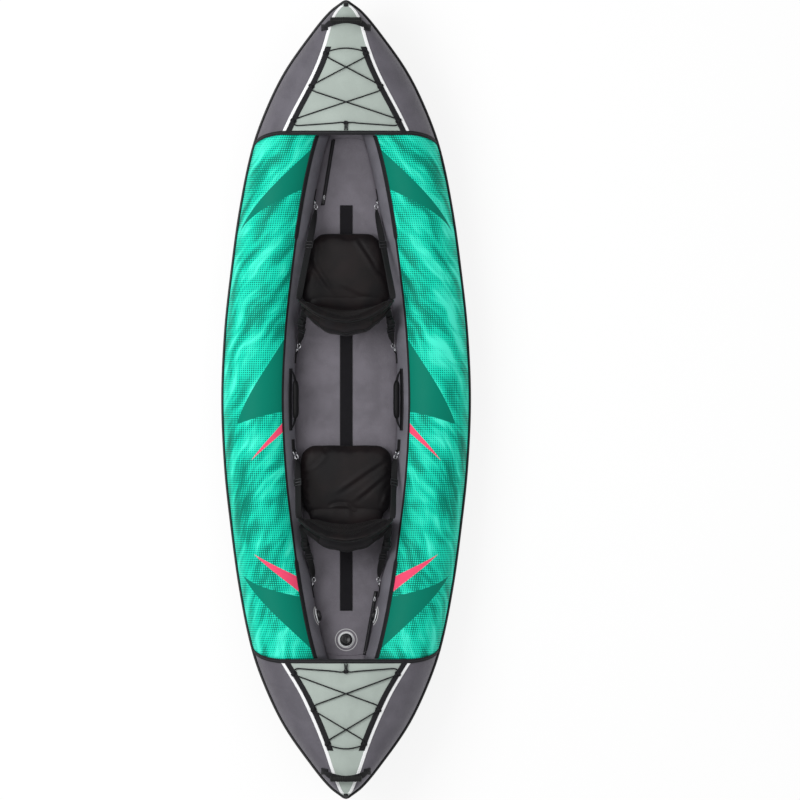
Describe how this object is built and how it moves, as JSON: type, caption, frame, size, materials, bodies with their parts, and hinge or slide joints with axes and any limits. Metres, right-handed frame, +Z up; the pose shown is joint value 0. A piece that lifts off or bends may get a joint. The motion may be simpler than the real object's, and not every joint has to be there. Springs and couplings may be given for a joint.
{
  "type": "inflatable recreational kayak",
  "caption": "Inflatable two-seat recreational kayak: side tubes, air floor, laced decks, padded seats with strapped backrests, carry handles and valves.",
  "frame": {"origin": "on the ground, under the middle of the hull's flat bottom panel", "axes": "+Y to the bow along the hull, +X to starboard, +Z up"},
  "size_m": [1.0054, 3.2, 0.4186],
  "materials": {
    "hull_skin": "matt black coated fabric",
    "printed_sleeve": "printed satin coated fabric",
    "cockpit_lining": "matt grey coated fabric",
    "air_bladder": "smooth welded film",
    "floor_cover": "matt grey coated fabric",
    "deck_cover": "matt dark grey coated fabric",
    "deck_panel": "matt light grey coated fabric",
    "edge_band": "matt black",
    "webbing": "black woven webbing",
    "bungee_cord": "black braided sheath",
    "handle_grip": "matt black, ribbed",
    "valve_plastic": "black moulded",
    "valve_stem": "bright",
    "zip_tape": "black tape with moulded teeth",
    "zip_slider": "black",
    "seat_fabric": "black woven fabric over foam",
    "strap_ring": "satin wire on black webbing"
  },
  "bodies": {
    "hull": {"hull_bottom": "hull_skin", "hull_side_port": "hull_skin", "hull_side_starboard": "hull_skin", "side_sleeve_port": "printed_sleeve", "side_sleeve_starboard": "printed_sleeve", "inner_lining_port": "cockpit_lining", "inner_lining_starboard": "cockpit_lining", "side_chamber_port": "air_bladder", "side_chamber_starboard": "air_bladder", "floor_chamber": "floor_cover", "bow_deck_cover": "deck_cover", "stern_deck_cover": "deck_cover", "bow_deck_panel": "deck_panel", "stern_deck_panel": "deck_panel", "bow_deck_band": "edge_band", "stern_deck_band": "edge_band", "gunwale_piping": "edge_band", "cockpit_binding_port": "webbing", "cockpit_binding_starboard": "webbing", "bow_lacing_strip_port": "webbing", "bow_lacing_strip_starboard": "webbing", "stern_lacing_strip_port": "webbing", "stern_lacing_strip_starboard": "webbing", "floor_grip_strip": "webbing", "front_seat_strap_fore_port": "webbing", "front_seat_strap_fore_starboard": "webbing", "front_seat_strap_aft_port": "webbing", "front_seat_strap_aft_starboard": "webbing", "rear_seat_strap_fore_port": "webbing", "rear_seat_strap_fore_starboard": "webbing", "rear_seat_strap_aft_port": "webbing", "rear_seat_strap_aft_starboard": "webbing", "bow_bungee": "bungee_cord", "stern_bungee": "bungee_cord", "floor_valve_body": "valve_plastic", "side_valve_body_port": "valve_plastic", "side_valve_body_starboard": "valve_plastic", "floor_zip_bow": "zip_tape", "floor_zip_stern": "zip_tape", "front_seat_pan": "seat_fabric", "rear_seat_pan": "seat_fabric", "front_seat_ring_fore_port": "strap_ring", "front_seat_ring_fore_starboard": "strap_ring", "front_seat_ring_aft_port": "strap_ring", "front_seat_ring_aft_starboard": "strap_ring", "rear_seat_ring_aft_port": "strap_ring", "rear_seat_ring_aft_starboard": "strap_ring"},
    "front_backrest": {"front_seat_back": "seat_fabric"},
    "rear_backrest": {"rear_seat_back": "seat_fabric"},
    "bow_carry_loop": {"bow_handle": "handle_grip"},
    "stern_carry_loop": {"stern_handle": "handle_grip"},
    "port_carry_loop": {"side_handle_port": "handle_grip"},
    "starboard_carry_loop": {"side_handle_starboard": "handle_grip"},
    "floor_cap": {"floor_valve_cap": "valve_plastic"},
    "floor_stem": {"floor_valve_stem": "valve_stem"},
    "port_cap": {"side_valve_cap_port": "valve_plastic"},
    "starboard_cap": {"side_valve_cap_starboard": "valve_plastic"},
    "bow_zip_pull": {"floor_zip_slider_bow": "zip_slider"},
    "stern_zip_pull": {"floor_zip_slider_stern": "zip_slider"}
  },
  "joints": [
    {"name": "front_backrest_recline", "type": "hinge", "parent": "hull", "child": "front_backrest", "pos_m": [0, 0.36, 0.15109], "axis": [1, 0, 0], "range_deg": [-50, 15], "deforming": ["front_seat_strap_fore_port", "front_seat_strap_fore_starboard", "front_seat_strap_aft_port", "front_seat_strap_aft_starboard"]},
    {"name": "rear_backrest_recline", "type": "hinge", "parent": "hull", "child": "rear_backrest", "pos_m": [0, -0.49, 0.1499], "axis": [1, 0, 0], "range_deg": [-50, 15], "deforming": ["rear_seat_strap_fore_port", "rear_seat_strap_fore_starboard", "rear_seat_strap_aft_port", "rear_seat_strap_aft_starboard"]},
    {"name": "bow_handle_swing", "type": "hinge", "parent": "hull", "child": "bow_carry_loop", "pos_m": [0, 1.4886, 0.34531], "axis": [1, 0, 0], "range_deg": [-30, 35]},
    {"name": "stern_handle_swing", "type": "hinge", "parent": "hull", "child": "stern_carry_loop", "pos_m": [0, -1.4886, 0.34531], "axis": [-1, 0, 0], "range_deg": [-30, 35]},
    {"name": "port_handle_swing", "type": "hinge", "parent": "hull", "child": "port_carry_loop", "pos_m": [-0.21914, 0, 0.22242], "axis": [0, 1, 0], "range_deg": [-30, 30]},
    {"name": "starboard_handle_swing", "type": "hinge", "parent": "hull", "child": "starboard_carry_loop", "pos_m": [0.21914, 0, 0.22242], "axis": [0, -1, 0], "range_deg": [-30, 30]},
    {"name": "floor_cap_lift", "type": "slide", "parent": "hull", "child": "floor_cap", "axis": [0, 0.1163, 0.9932], "range_m": [0, 0.03]},
    {"name": "floor_stem_push", "type": "slide", "parent": "hull", "child": "floor_stem", "axis": [0, 0.1163, 0.9932], "range_m": [-0.005, 0], "stiffness_N_per_m": 300},
    {"name": "port_cap_lift", "type": "slide", "parent": "hull", "child": "port_cap", "axis": [0.9677, 0.2211, 0.1211], "range_m": [0, 0.03]},
    {"name": "starboard_cap_lift", "type": "slide", "parent": "hull", "child": "starboard_cap", "axis": [-0.9677, 0.2211, 0.1211], "range_m": [0, 0.03]},
    {"name": "bow_zip_run", "type": "slide", "parent": "hull", "child": "bow_zip_pull", "axis": [0.1557, 0.983, 0.0971], "range_m": [0, 0.18]},
    {"name": "stern_zip_run", "type": "slide", "parent": "hull", "child": "stern_zip_pull", "axis": [-0.1716, -0.9806, 0.0946], "range_m": [0, 0.18]}
  ]
}
